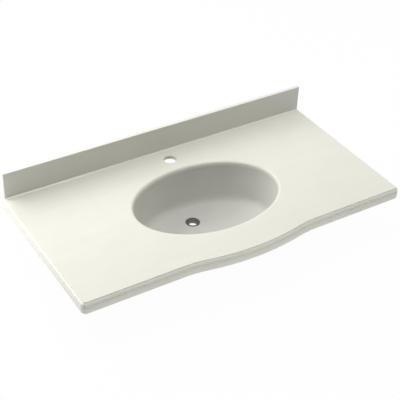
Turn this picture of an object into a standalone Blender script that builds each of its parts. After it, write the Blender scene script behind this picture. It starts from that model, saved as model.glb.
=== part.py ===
"""Vanity sink top with an oval bowl, a backsplash and a bowed front edge.

The top is built as a fabricator builds it. A sheet with a moulded nose carries a
separate bowl bonded under its cut-out, a backsplash on its back edge, edge strips that
thicken its rim, and rails that stand on the cabinet. A short waste sits in the bowl.

Units are metres, +Z is up and +Y points to the wall. The origin is the middle of the
front rail's underside, where the top rests on its cabinet.
"""

import math

import bmesh
import bpy
from mathutils import Matrix, Vector

MM = 0.001

# Overall sizes
WIDTH = 1092.2 * MM
EDGE_HEIGHT = 38.1 * MM
SHEET = 12.7 * MM
GAP = 0.3 * MM

# Moulded nose of the sheet: a small step over a quarter round
NOSE_ROUND = 6.35 * MM
NOSE_STEP = 3.0 * MM
NOSE_ARRIS = 0.8 * MM
REVEAL = 1.4 * MM
CORNER_RADIUS = 16.0 * MM

# Bow of the front edge
BOW = 23.6 * MM
BOW_CROWN_HALF = 155.0 * MM
BOW_HALF = 230.0 * MM

# Edge strips below the sheet
STRIP_BULGE = 1.2 * MM
STRIP_FOOT_ROUND = 4.5 * MM
STRIP_RETURN = 30.0 * MM

# Backsplash and its seal
SPLASH_HEIGHT = 88.9 * MM
SPLASH_ARRIS = 1.6 * MM
SEAL_LEG = 3.6 * MM
SEAL_HOLLOW = 1.1 * MM

# Bowl
BOWL_ROOM = 40.0 * MM
BOWL_HALF_WIDTH = 238.5 * MM
BOWL_HALF_DEPTH = 162.5 * MM
BOWL_DEPTH = 152.0 * MM
BOWL_RIM_ROUND = 9.0 * MM
BOWL_RIM_TURN = math.radians(80.0)
BOWL_WALL = 8.0 * MM
BOWL_DRAFT = math.radians(5.0)
BOWL_FILLET = 28.0 * MM
BOWL_FLOOR_FALL = 6.0 * MM
BOWL_SHIFT_SHARE = 0.1
BOWL_PAD_ROOM = 1.1 * MM
BOWL_FLANGE = 26.0 * MM
SEAM = 1.0 * MM

# Faucet hole
FAUCET_SETBACK = 67.0 * MM
FAUCET_HOLE_RADIUS = 21.0 * MM
HOLE_ARRIS = 0.6 * MM

# Waste fitting in the bowl
DRAIN_OFFSET = 75.5 * MM
WASTE_FLANGE_RADIUS = 23.0 * MM
WASTE_FLANGE_THICK = 2.0 * MM
WASTE_FLANGE_ARRIS = 0.4 * MM
WASTE_DISH = 0.5 * MM
WASTE_BORE_RADIUS = 16.0 * MM
WASTE_THROAT_ROUND = 0.8 * MM
WASTE_TUBE_WALL = 2.5 * MM
WASTE_LENGTH = 17.5 * MM
WASTE_PLAY = 0.5 * MM
UPPER_GASKET = 0.6 * MM
LOWER_GASKET = 2.0 * MM
WASHER_THICK = 0.8 * MM
WASHER_RADIUS = 25.0 * MM
LOCKNUT_HEIGHT = 4.0 * MM
LOCKNUT_FLAT = 25.0 * MM

# Rails that stand on the cabinet
FRONT_RAIL_WIDTH = 44.7 * MM
REAR_RAIL_WIDTH = 34.0 * MM
REAR_RAIL_SETBACK = 3.0 * MM
REAR_RAIL_PART = 160.0 * MM
SIDE_RAIL_WIDTH = 36.0 * MM
BRACE_WIDTH = 36.0 * MM
RAIL_ROOM = 10.0 * MM
RAIL_END_ROOM = 2.0 * MM

# Clips that hold the bowl's flange up to the sheet
CLIP_WIDTH = 18.0 * MM
CLIP_THICK = 2.0 * MM
CLIP_GRIP = 14.0 * MM
CLIP_REACH = 26.0 * MM
CLIP_SCREW_OUT = 12.0 * MM
SCREW_RADIUS = 2.5 * MM
SCREW_HEAD_RADIUS = 4.8 * MM
SCREW_HEAD_HEIGHT = 3.2 * MM
SCREW_HEAD_SIDE_SHARE = 0.6
SCREW_HEAD_FACE_SHARE = 0.7
SCREW_END_ROOM = 1.0 * MM
INSERT_WALL = 1.6 * MM
INSERT_LENGTH = 8.0 * MM
CLIP_ANGLES = [math.radians(a) for a in (0.0, 40.0, 140.0, 180.0, 220.0, 320.0)]

# Counts of segments, and limits of the drawing
CORNER_STEPS = 5
REVERSE_STEPS = 6
CROWN_STEPS = 14
NOSE_STEPS = 4
OVAL_STEPS = 64
FILLET_STEPS = 5
FLOOR_STEPS = 5
RIM_STEPS = 5
ARRIS_STEPS = 2
FINE_TURN = 48
SMALL_TURN = 32
SCREW_TURN = 14
MERGE = 0.01 * MM
CUT_OVERRUN = 5.0 * MM
SMOOTH_LIMIT = math.radians(35.0)

# Places worked out from the sizes
LIP = NOSE_ROUND + STRIP_BULGE
STRIP_BACK = SHEET - NOSE_ROUND
ARRIS_HALF = WIDTH / 2 - LIP
ARRIS_RADIUS = CORNER_RADIUS - LIP
BOWL_Y = FRONT_RAIL_WIDTH / 2 + RAIL_ROOM + BOWL_FLANGE + BOWL_HALF_DEPTH
DRAIN_Y = BOWL_Y + DRAIN_OFFSET
FAUCET_Y = BOWL_Y + BOWL_HALF_DEPTH + BOWL_ROOM + FAUCET_HOLE_RADIUS
WALL_Y = FAUCET_Y + FAUCET_SETBACK
FRONT_Y = -FRONT_RAIL_WIDTH / 2 - GAP - STRIP_BACK
DECK_TOP = EDGE_HEIGHT
DECK_UNDER = EDGE_HEIGHT - SHEET
RAIL_TOP = DECK_UNDER - GAP
SEAM_TOP = DECK_UNDER - GAP
FLANGE_TOP = SEAM_TOP - SEAM - GAP
FLANGE_UNDER = FLANGE_TOP - BOWL_WALL
PAD_TOP = DECK_TOP - BOWL_DEPTH
BOWL_PAD_RADIUS = LOCKNUT_FLAT / math.cos(math.pi / 6) + BOWL_PAD_ROOM

PARTS = None
CUTTERS = None


# Scene helpers

def clear_scene():
    """Removes every object of the open scene."""
    for obj in list(bpy.data.objects):
        bpy.data.objects.remove(obj, do_unlink=True)


def new_collection(name):
    """Adds a collection to the scene."""
    found = bpy.data.collections.new(name)
    bpy.context.scene.collection.children.link(found)
    return found


def principled(name, colour, roughness, metallic=0.0):
    """Makes a plain Principled material."""
    made = bpy.data.materials.new(name)
    made.use_nodes = True
    shader = made.node_tree.nodes["Principled BSDF"]
    shader.inputs["Base Color"].default_value = (*colour, 1.0)
    shader.inputs["Roughness"].default_value = roughness
    shader.inputs["Metallic"].default_value = metallic
    made.diffuse_color = (*colour, 1.0)
    return made


def add_part(name, mesh, finish):
    """Links a mesh to the part's collection under its node name."""
    obj = bpy.data.objects.new(name, mesh)
    PARTS.objects.link(obj)
    mesh.materials.clear()
    mesh.materials.append(finish)
    return obj


def make_cutter(obj):
    """Moves an object to the cutters' collection, where it stays hidden."""
    for owner in list(obj.users_collection):
        owner.objects.unlink(obj)
    CUTTERS.objects.link(obj)
    obj.hide_render = True
    obj.display_type = "WIRE"
    return obj


def cut(target, cutter):
    """Cuts one object out of another."""
    step = target.modifiers.new("cut " + cutter.name, "BOOLEAN")
    step.operation = "DIFFERENCE"
    step.solver = "EXACT"
    step.object = cutter
    return step


def add_box(name, low, high, finish):
    """Adds a box between two corners, from a cube primitive with its scale applied."""
    size = [b - a for a, b in zip(low, high)]
    middle = [(a + b) / 2 for a, b in zip(low, high)]
    bm = bmesh.new()
    bmesh.ops.create_cube(bm, size=1.0)
    bmesh.ops.scale(bm, vec=size, verts=bm.verts)
    mesh = bpy.data.meshes.new(name)
    bm.to_mesh(mesh)
    bm.free()
    obj = add_part(name, mesh, finish)
    obj.location = middle
    return obj


def soften(obj, width):
    """Rounds the edges of a box-like object."""
    step = obj.modifiers.new("arris", "BEVEL")
    step.width = width
    step.segments = ARRIS_STEPS
    step.limit_method = "ANGLE"
    return step


def turned(name, profile, finish, steps, closed=True):
    """Turns a profile of (radius, height) points round +Z.

    The points run down the outer side. A closed profile makes a ring, and an open one
    starts and ends on the axis.
    """
    mesh = bpy.data.meshes.new(name)
    points = [(radius, 0.0, height) for radius, height in profile]
    edges = [(i, i + 1) for i in range(len(points) - 1)]
    if closed:
        edges.append((len(points) - 1, 0))
    mesh.from_pydata(points, edges, [])
    obj = add_part(name, mesh, finish)
    step = obj.modifiers.new("turn", "SCREW")
    step.axis = "Z"
    step.angle = math.tau
    step.steps = steps
    step.render_steps = steps
    step.use_merge_vertices = True
    step.merge_threshold = MERGE
    return obj


def shade_round(mesh):
    """Shades a mesh smooth, with its sharp edges kept."""
    mesh.shade_smooth()
    mesh.set_sharp_from_angle(angle=SMOOTH_LIMIT)


def as_mesh(obj, name=None):
    """Returns an object's evaluated mesh with its doubles merged."""
    graph = bpy.context.evaluated_depsgraph_get()
    mesh = bpy.data.meshes.new_from_object(obj.evaluated_get(graph))
    mesh.name = name or obj.name
    bm = bmesh.new()
    bm.from_mesh(mesh)
    bmesh.ops.remove_doubles(bm, verts=bm.verts, dist=MERGE)
    bm.to_mesh(mesh)
    bm.free()
    return mesh


def flat_plate(name, outlines, thickness, finish, place=None):
    """Extrudes closed outlines, inner ones being holes, as a filled 2D curve.

    The plate is centred on its outline's plane. It's made a mesh so that it can be cut.
    """
    curve = bpy.data.curves.new(name, "CURVE")
    curve.dimensions = "2D"
    curve.fill_mode = "BOTH"
    curve.extrude = thickness / 2
    for outline in outlines:
        spline = curve.splines.new("POLY")
        spline.points.add(len(outline) - 1)
        for point, (x, y) in zip(spline.points, outline):
            point.co = (x, y, 0.0, 1.0)
        spline.use_cyclic_u = True
    drawn = bpy.data.objects.new(name + " outline", curve)
    PARTS.objects.link(drawn)
    bpy.context.view_layer.update()
    mesh = as_mesh(drawn, name)
    shade_round(mesh)
    bpy.data.objects.remove(drawn, do_unlink=True)
    obj = add_part(name, mesh, finish)
    if place is not None:
        obj.matrix_world = place
    return obj


def lofted_solid(name, rows, finish, ring):
    """Joins rows of equally many points into a closed solid.

    With ring set, each row is a closed outline and the first and last rows are capped.
    Without it, the rows themselves close round, and the ends of the rows are capped.
    """
    bm = bmesh.new()
    grid = [[bm.verts.new(point) for point in row] for row in rows]
    count = len(grid[0])
    last_row = len(grid) - 1 if ring else len(grid)
    last_point = count if ring else count - 1
    for i in range(last_row):
        low = grid[i]
        high = grid[(i + 1) % len(grid)]
        for j in range(last_point):
            k = (j + 1) % count
            bm.faces.new((low[j], low[k], high[k], high[j]))
    if ring:
        bm.faces.new(list(reversed(grid[0])))
        bm.faces.new(grid[-1])
    else:
        bm.faces.new([row[0] for row in grid])
        bm.faces.new([row[-1] for row in reversed(grid)])
    bmesh.ops.recalc_face_normals(bm, faces=bm.faces)
    mesh = bpy.data.meshes.new(name)
    bm.to_mesh(mesh)
    bm.free()
    shade_round(mesh)
    return add_part(name, mesh, finish)


# Outline of the top

def bow_at(x):
    """Returns how far the front edge stands out at x, and its slope.

    Two parabolas meet with one slope: the crown round the middle, and a reverse curve
    that runs out into the straight ends.
    """
    u = abs(x)
    side = math.copysign(1.0, x)
    slope = 2 * BOW / BOW_HALF
    reverse = BOW_HALF - BOW_CROWN_HALF
    if u <= BOW_CROWN_HALF:
        return BOW - slope * u * u / (2 * BOW_CROWN_HALF), -side * slope * u / BOW_CROWN_HALF
    if u < BOW_HALF:
        left = BOW_HALF - u
        return slope * left * left / (2 * reverse), -side * slope * left / reverse
    return 0.0, 0.0


def front_stations():
    """Lists the places along x where the front edge is drawn."""
    reverse = BOW_HALF - BOW_CROWN_HALF
    flank = [BOW_HALF - reverse * i / REVERSE_STEPS for i in range(REVERSE_STEPS)]
    crown = [BOW_CROWN_HALF * (2 * i / CROWN_STEPS - 1) for i in range(CROWN_STEPS + 1)]
    return [-x for x in flank] + crown + list(reversed(flank))


def front_outline(out, side_y=None):
    """Draws the front edge from left to right, moved outwards by out.

    It holds both corner arcs. With side_y set, it also runs up both sides to that y.
    """
    radius = max(ARRIS_RADIUS + out, GAP)
    centre_x = ARRIS_HALF - ARRIS_RADIUS
    centre_y = FRONT_Y + ARRIS_RADIUS
    points = []
    if side_y is not None:
        points.append((-ARRIS_HALF - out, side_y))
    for i in range(CORNER_STEPS + 1):
        angle = math.pi + math.pi / 2 * i / CORNER_STEPS
        points.append((-centre_x + radius * math.cos(angle), centre_y + radius * math.sin(angle)))
    for x in front_stations():
        stand, slope = bow_at(x)
        length = math.hypot(1.0, slope)
        points.append((x - out * slope / length, FRONT_Y - stand - out / length))
    for i in range(CORNER_STEPS + 1):
        angle = 3 * math.pi / 2 + math.pi / 2 * i / CORNER_STEPS
        points.append((centre_x + radius * math.cos(angle), centre_y + radius * math.sin(angle)))
    if side_y is not None:
        points.append((ARRIS_HALF + out, side_y))
    return points


def oval(half_width, half_depth, centre_y, steps=None):
    """Draws an oval anticlockwise."""
    steps = steps or OVAL_STEPS
    angles = [math.tau * i / steps for i in range(steps)]
    return [(half_width * math.cos(a), centre_y + half_depth * math.sin(a)) for a in angles]


# Sheet, edge strips and backsplash

def nose_profile():
    """Lists (out, height) points of the sheet's edge, bottom to top."""
    round_base = DECK_TOP - NOSE_STEP - NOSE_ROUND
    points = [(NOSE_ROUND - REVEAL, DECK_UNDER), (NOSE_ROUND, DECK_UNDER + REVEAL)]
    for i in range(NOSE_STEPS + 1):
        angle = math.pi / 2 * i / NOSE_STEPS
        points.append((NOSE_ROUND * math.cos(angle), round_base + NOSE_ROUND * math.sin(angle)))
    turn = NOSE_ARRIS * (1 - math.sqrt(0.5))
    points += [(0.0, DECK_TOP - NOSE_ARRIS), (-turn, DECK_TOP - turn), (-NOSE_ARRIS, DECK_TOP)]
    return points


def build_deck(finish, metal):
    """Makes the sheet and cuts its bowl opening and faucet hole."""
    rows = []
    for out, height in nose_profile():
        rows.append([(x, y, height) for x, y in front_outline(out, WALL_Y)])
    deck = lofted_solid("deck_panel", rows, finish, ring=True)
    cut(deck, opening_cutter(metal))
    cut(deck, faucet_cutter(metal))
    return deck


def opening_cutter(finish):
    """Makes the oval cutter whose flared top leaves a rounded rim."""
    rows = []
    heights = [(0.0, DECK_UNDER - CUT_OVERRUN)]
    for i in range(RIM_STEPS + 1):
        angle = BOWL_RIM_TURN * i / RIM_STEPS
        spread = BOWL_RIM_ROUND * (1 - math.cos(angle))
        heights.append((spread, DECK_TOP - BOWL_RIM_ROUND * (1 - math.sin(angle))))
    heights.append((BOWL_RIM_ROUND, DECK_TOP + CUT_OVERRUN))
    for spread, height in heights:
        ring = oval(BOWL_HALF_WIDTH + spread, BOWL_HALF_DEPTH + spread, BOWL_Y)
        rows.append([(x, y, height) for x, y in ring])
    return make_cutter(lofted_solid("bowl opening cutter", rows, finish, ring=True))


def faucet_cutter(finish):
    """Makes the cutter of the faucet hole, with a small arris at both faces."""
    wide = FAUCET_HOLE_RADIUS + HOLE_ARRIS
    profile = [
        (0.0, DECK_TOP + CUT_OVERRUN),
        (wide, DECK_TOP + CUT_OVERRUN),
        (wide, DECK_TOP),
        (FAUCET_HOLE_RADIUS, DECK_TOP - HOLE_ARRIS),
        (FAUCET_HOLE_RADIUS, DECK_UNDER + HOLE_ARRIS),
        (wide, DECK_UNDER),
        (wide, DECK_UNDER - CUT_OVERRUN),
        (0.0, DECK_UNDER - CUT_OVERRUN),
    ]
    cutter = turned("faucet hole cutter", profile, finish, FINE_TURN, closed=False)
    cutter.location = (0.0, FAUCET_Y, 0.0)
    return make_cutter(cutter)


def strip_section():
    """Lists (out, height) points round the section of an edge strip."""
    top = RAIL_TOP
    foot = STRIP_FOOT_ROUND
    middle = (top - REVEAL + foot) / 2
    quarter = (top - REVEAL - foot) / 4
    flank = STRIP_BULGE * 3 / 4
    turn = foot * (1 - math.sqrt(0.5))
    return [
        (-STRIP_BACK, top),
        (-STRIP_BACK, 0.0),
        (NOSE_ROUND - foot, 0.0),
        (NOSE_ROUND - turn, turn),
        (NOSE_ROUND, foot),
        (NOSE_ROUND + flank, middle - quarter),
        (NOSE_ROUND + STRIP_BULGE, middle),
        (NOSE_ROUND + flank, middle + quarter),
        (NOSE_ROUND, top - REVEAL),
        (NOSE_ROUND - REVEAL, top),
    ]


def build_strips(finish):
    """Makes the bowed front strip and the two straight side strips."""
    return_y = FRONT_Y + STRIP_RETURN
    rows = []
    for out, height in strip_section():
        rows.append([(x, y, height) for x, y in front_outline(out, return_y)])
    lofted_solid("front_edge_strip", rows, finish, ring=False)
    for name, side in (("left_edge_strip", -1.0), ("right_edge_strip", 1.0)):
        rows = []
        for out, height in strip_section():
            x = side * (ARRIS_HALF + out)
            rows.append([(x, return_y + GAP, height), (x, WALL_Y, height)])
        lofted_solid(name, rows, finish, ring=False)


def build_backsplash(finish, sealant):
    """Stands the backsplash on the sheet's back edge and seals its foot."""
    low = (-ARRIS_HALF, WALL_Y - SHEET, DECK_TOP + GAP)
    high = (ARRIS_HALF, WALL_Y, DECK_TOP + SPLASH_HEIGHT)
    splash = add_box("backsplash", low, high, finish)
    soften(splash, SPLASH_ARRIS)
    hollow = SEAL_HOLLOW * math.sqrt(0.5)
    middle = SEAL_LEG / 2 - hollow
    section = [(0.0, 0.0), (SEAL_LEG, 0.0), (middle, middle), (0.0, SEAL_LEG)]
    foot = Matrix.Translation((0.0, WALL_Y - SHEET - GAP, DECK_TOP + GAP))
    turn = foot @ Matrix(((0, 0, -1, 0), (-1, 0, 0, 0), (0, 1, 0, 0), (0, 0, 0, 1)))
    flat_plate("backsplash_seal", [section], 2 * ARRIS_HALF, sealant, turn)


# Bowl

def bowl_rings():
    """Lists the bowl's inner surface as (half width, half depth, centre y, height) ovals.

    A flange runs in to the rim. A straight wall falls with the draft, a round fillet
    turns it into the floor, and the floor narrows to a flat round pad at the drain.
    The ovals' centre moves back towards the drain on the way.
    """
    a, b = BOWL_HALF_WIDTH, BOWL_HALF_DEPTH
    floor_top = PAD_TOP + BOWL_FLOOR_FALL
    lean = math.sin(BOWL_DRAFT)
    wall_foot = floor_top + BOWL_FILLET * (1 - lean)
    wall_inset = math.tan(BOWL_DRAFT) * (FLANGE_TOP - wall_foot)
    rings = [(a + BOWL_FLANGE, b + BOWL_FLANGE, BOWL_Y, FLANGE_TOP), (a, b, BOWL_Y, FLANGE_TOP)]
    shift = BOWL_SHIFT_SHARE * DRAIN_OFFSET
    reach = BOWL_FILLET * math.cos(BOWL_DRAFT)
    for i in range(FILLET_STEPS + 1):
        angle = BOWL_DRAFT + (math.pi / 2 - BOWL_DRAFT) * i / FILLET_STEPS
        run = BOWL_FILLET * (math.cos(BOWL_DRAFT) - math.cos(angle))
        inset = wall_inset + run
        height = wall_foot - BOWL_FILLET * (math.sin(angle) - lean)
        rings.append((a - inset, b - inset, BOWL_Y + shift * run / reach, height))
    floor_a, floor_b, floor_y, _ = rings[-1]
    for i in range(1, FLOOR_STEPS + 1):
        share = i / FLOOR_STEPS
        half_width = floor_a + (BOWL_PAD_RADIUS - floor_a) * share
        half_depth = floor_b + (BOWL_PAD_RADIUS - floor_b) * share
        centre = floor_y + (DRAIN_Y - floor_y) * share
        fall = BOWL_FLOOR_FALL * share * (2 - share)
        rings.append((half_width, half_depth, centre, floor_top - fall))
    return rings


def build_bowl(finish, metal):
    """Makes the bowl as an open surface with a wall, and cuts its drain seat."""
    bm = bmesh.new()
    grid = []
    for half_width, half_depth, centre, height in bowl_rings():
        grid.append([bm.verts.new((x, y, height)) for x, y in oval(half_width, half_depth, centre)])
    for outer, inner in zip(grid, grid[1:]):
        for j in range(OVAL_STEPS):
            k = (j + 1) % OVAL_STEPS
            bm.faces.new((outer[j], outer[k], inner[k], inner[j]))
    bm.faces.new(grid[-1])
    mesh = bpy.data.meshes.new("bowl_shell")
    bm.to_mesh(mesh)
    bm.free()
    shade_round(mesh)
    bowl = add_part("bowl_shell", mesh, finish)
    wall = bowl.modifiers.new("wall", "SOLIDIFY")
    wall.thickness = BOWL_WALL
    wall.offset = -1.0
    wall.use_even_offset = True
    cut(bowl, drain_cutter(metal))
    return bowl


def drain_cutter(finish):
    """Makes the turned cutter of the drain hole and the recess for the waste's flange."""
    recess = WASTE_FLANGE_RADIUS + WASTE_PLAY
    seat = PAD_TOP - WASTE_FLANGE_THICK - UPPER_GASKET - 2 * GAP
    hole = WASTE_BORE_RADIUS + WASTE_TUBE_WALL + WASTE_PLAY
    profile = [
        (0.0, PAD_TOP + CUT_OVERRUN),
        (recess, PAD_TOP + CUT_OVERRUN),
        (recess, seat),
        (hole, seat),
        (hole, PAD_TOP - BOWL_WALL - CUT_OVERRUN),
        (0.0, PAD_TOP - BOWL_WALL - CUT_OVERRUN),
    ]
    cutter = turned("drain seat cutter", profile, finish, FINE_TURN, closed=False)
    cutter.location = (0.0, DRAIN_Y, 0.0)
    return make_cutter(cutter)


def build_seam(finish):
    """Lays the ring of seam adhesive between the bowl's flange and the sheet."""
    inner = oval(BOWL_HALF_WIDTH, BOWL_HALF_DEPTH, BOWL_Y)
    outer = oval(BOWL_HALF_WIDTH + BOWL_FLANGE, BOWL_HALF_DEPTH + BOWL_FLANGE, BOWL_Y)
    place = Matrix.Translation((0.0, 0.0, SEAM_TOP - SEAM / 2))
    flat_plate("bowl_seam_ring", [outer, inner], SEAM, finish, place)


# Waste fitting

def ring_profile(inner, outer, top, thickness):
    """Lists the corners of a flat ring's section, down its outer side first."""
    return [(outer, top), (outer, top - thickness), (inner, top - thickness), (inner, top)]


def build_waste(metal, rubber, brass):
    """Makes the waste's flange with its tube, two gaskets, a washer and a locknut."""
    bore = WASTE_BORE_RADIUS
    tube = bore + WASTE_TUBE_WALL
    rim = WASTE_FLANGE_RADIUS
    arris = WASTE_FLANGE_ARRIS
    profile = [
        (rim - arris, PAD_TOP),
        (rim, PAD_TOP - arris),
        (rim, PAD_TOP - WASTE_FLANGE_THICK),
        (tube, PAD_TOP - WASTE_FLANGE_THICK),
        (tube, PAD_TOP - WASTE_LENGTH),
        (bore, PAD_TOP - WASTE_LENGTH),
        (bore, PAD_TOP - WASTE_DISH - WASTE_THROAT_ROUND),
        (bore + WASTE_THROAT_ROUND, PAD_TOP - WASTE_DISH),
    ]
    turned("waste_flange", profile, metal, FINE_TURN).location = (0.0, DRAIN_Y, 0.0)
    inner = tube + GAP
    upper = PAD_TOP - WASTE_FLANGE_THICK - GAP
    lower = PAD_TOP - BOWL_WALL - GAP
    washer = lower - LOWER_GASKET - GAP
    rings = [("waste_gasket_upper", inner + WASTE_PLAY, rim - GAP, upper, UPPER_GASKET, rubber)]
    rings.append(("waste_gasket_lower", inner, WASHER_RADIUS, lower, LOWER_GASKET, rubber))
    rings.append(("waste_washer", inner, WASHER_RADIUS, washer, WASHER_THICK, brass))
    for name, hole, outer, top, thickness, finish in rings:
        ring = turned(name, ring_profile(hole, outer, top, thickness), finish, SMALL_TURN)
        ring.location = (0.0, DRAIN_Y, 0.0)
    nut_middle = washer - WASHER_THICK - GAP - LOCKNUT_HEIGHT / 2
    place = Matrix.Translation((0.0, DRAIN_Y, nut_middle))
    outlines = [hexagon(LOCKNUT_FLAT), oval(inner, inner, 0.0, SMALL_TURN)]
    flat_plate("waste_locknut", outlines, LOCKNUT_HEIGHT, brass, place)


def hexagon(flat):
    """Draws a nut's outline from the distance between its middle and a flat."""
    corner = flat / math.cos(math.pi / 6)
    angles = [math.pi / 3 * i for i in range(6)]
    return [(corner * math.cos(a), corner * math.sin(a)) for a in angles]


# Rails

def build_rails(finish):
    """Makes the rails under the rim and the two braces beside the bowl.

    The rear rail is in two lengths, which leaves the faucet's nut and hoses free.
    """
    inner_x = ARRIS_HALF - STRIP_BACK - GAP
    front_face = -FRONT_RAIL_WIDTH / 2
    front_back = FRONT_RAIL_WIDTH / 2
    front_x = inner_x - RAIL_END_ROOM
    add_box("front_rail", (-front_x, front_face, 0.0), (front_x, front_back, RAIL_TOP), finish)
    rear_back = WALL_Y - REAR_RAIL_SETBACK
    rear_front = rear_back - REAR_RAIL_WIDTH
    brace_x = BOWL_HALF_WIDTH + BOWL_FLANGE + CLIP_REACH + RAIL_ROOM / 2
    side_span = (front_back + GAP, rear_front - GAP)
    spans = [("rear_rail", REAR_RAIL_PART / 2, inner_x, rear_front, rear_back)]
    spans.append(("rail", inner_x - SIDE_RAIL_WIDTH, inner_x, *side_span))
    spans.append(("brace", brace_x, brace_x + BRACE_WIDTH, *side_span))
    for kind, low_x, high_x, low_y, high_y in spans:
        for word, side in (("left", -1.0), ("right", 1.0)):
            xs = sorted((side * low_x, side * high_x))
            low = (xs[0], low_y, 0.0)
            high = (xs[1], high_y, RAIL_TOP)
            add_box(word + "_" + kind, low, high, finish)


# Bowl clips

def clip_places():
    """Places each clip on the flange's edge, its local +X pointing outwards."""
    places = []
    for angle in CLIP_ANGLES:
        a = BOWL_HALF_WIDTH + BOWL_FLANGE
        b = BOWL_HALF_DEPTH + BOWL_FLANGE
        x, y = a * math.cos(angle), b * math.sin(angle)
        outwards = Vector((math.cos(angle) / a, math.sin(angle) / b, 0.0)).normalized()
        turn = Matrix.Rotation(math.atan2(outwards.y, outwards.x), 4, "Z")
        places.append(Matrix.Translation((x, BOWL_Y + y, 0.0)) @ turn)
    return places


def clip_outline():
    """Draws the clip from the side: a bar under the flange with a foot up to the sheet."""
    bar_top = FLANGE_UNDER - GAP
    bar_under = bar_top - CLIP_THICK
    foot_top = DECK_UNDER - GAP
    return [
        (-CLIP_GRIP, bar_under),
        (CLIP_REACH, bar_under),
        (CLIP_REACH, foot_top),
        (CLIP_REACH - CLIP_THICK, foot_top),
        (CLIP_REACH - CLIP_THICK, bar_top),
        (-CLIP_GRIP, bar_top),
    ]


def screw_profile():
    """Lists the screw's profile, from its tip in the insert down to its head."""
    tip = DECK_UNDER + INSERT_LENGTH - SCREW_END_ROOM
    seat = FLANGE_UNDER - CLIP_THICK - 2 * GAP
    face = SCREW_HEAD_RADIUS * SCREW_HEAD_FACE_SHARE
    return [
        (0.0, tip),
        (SCREW_RADIUS, tip),
        (SCREW_RADIUS, seat),
        (SCREW_HEAD_RADIUS, seat),
        (SCREW_HEAD_RADIUS, seat - SCREW_HEAD_HEIGHT * SCREW_HEAD_SIDE_SHARE),
        (face, seat - SCREW_HEAD_HEIGHT),
        (0.0, seat - SCREW_HEAD_HEIGHT),
    ]


def drill(target, name, radius, top, bottom, place, finish):
    """Drills a hole between two heights of a target."""
    profile = [(0.0, top), (radius, top), (radius, bottom), (0.0, bottom)]
    bit = turned(name, profile, finish, SCREW_TURN, closed=False)
    bit.matrix_world = place
    cut(target, make_cutter(bit))


def build_clips(deck, steel, brass):
    """Makes each bent clip with its screw, and the insert that the screw enters."""
    upright = Matrix.Rotation(math.pi / 2, 4, "X")
    screw_hole = SCREW_RADIUS + GAP
    insert_radius = screw_hole + INSERT_WALL
    insert_top = DECK_UNDER + INSERT_LENGTH
    for number, place in enumerate(clip_places(), 1):
        axis = place @ Matrix.Translation((CLIP_SCREW_OUT, 0.0, 0.0))
        name = "bowl_clip_%d" % number
        clip = flat_plate(name, [clip_outline()], CLIP_WIDTH, steel, place @ upright)
        low = FLANGE_UNDER - CLIP_THICK - CUT_OVERRUN
        drill(clip, name + " hole cutter", screw_hole, FLANGE_UNDER, low, axis, steel)
        name_of_screw = "clip_screw_%d" % number
        screw = turned(name_of_screw, screw_profile(), steel, SCREW_TURN, closed=False)
        screw.matrix_world = axis
        sleeve = ring_profile(screw_hole, insert_radius, insert_top, INSERT_LENGTH)
        name = "clip_insert_%d" % number
        turned(name, sleeve, brass, SCREW_TURN).matrix_world = axis
        high, low = insert_top + GAP, DECK_UNDER - CUT_OVERRUN
        drill(deck, name + " hole cutter", insert_radius + GAP, high, low, axis, brass)


def build():
    """Builds the whole top."""
    global PARTS, CUTTERS
    clear_scene()
    PARTS = new_collection("vanity_sink_top")
    CUTTERS = new_collection("cutters")
    ivory = principled("ivory solid surface", (0.87, 0.865, 0.80), 0.38)
    adhesive = principled("seam adhesive", (0.84, 0.83, 0.77), 0.45)
    sealant = principled("clear sealant", (0.80, 0.79, 0.73), 0.30)
    rubber = principled("black rubber", (0.03, 0.03, 0.03), 0.80)
    bronze = principled("dark bronze", (0.14, 0.13, 0.11), 0.35, 1.0)
    brass = principled("brass", (0.70, 0.52, 0.24), 0.35, 1.0)
    steel = principled("zinc plated steel", (0.62, 0.63, 0.64), 0.35, 1.0)
    plywood = principled("birch plywood", (0.66, 0.49, 0.31), 0.65)
    deck = build_deck(ivory, steel)
    build_strips(ivory)
    build_backsplash(ivory, sealant)
    build_bowl(ivory, steel)
    build_seam(adhesive)
    build_waste(bronze, rubber, brass)
    build_rails(plywood)
    build_clips(deck, steel, brass)


build()
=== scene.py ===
"""Looks of a vanity sink top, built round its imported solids.

Every visible piece is a smooth surface worked out from the same sizes as the solids, with a
finish made of nodes. Units are metres, +Z is up and +Y points to the wall.
"""

import math

import bpy
import numpy as np
from mathutils import Matrix, Vector


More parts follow.
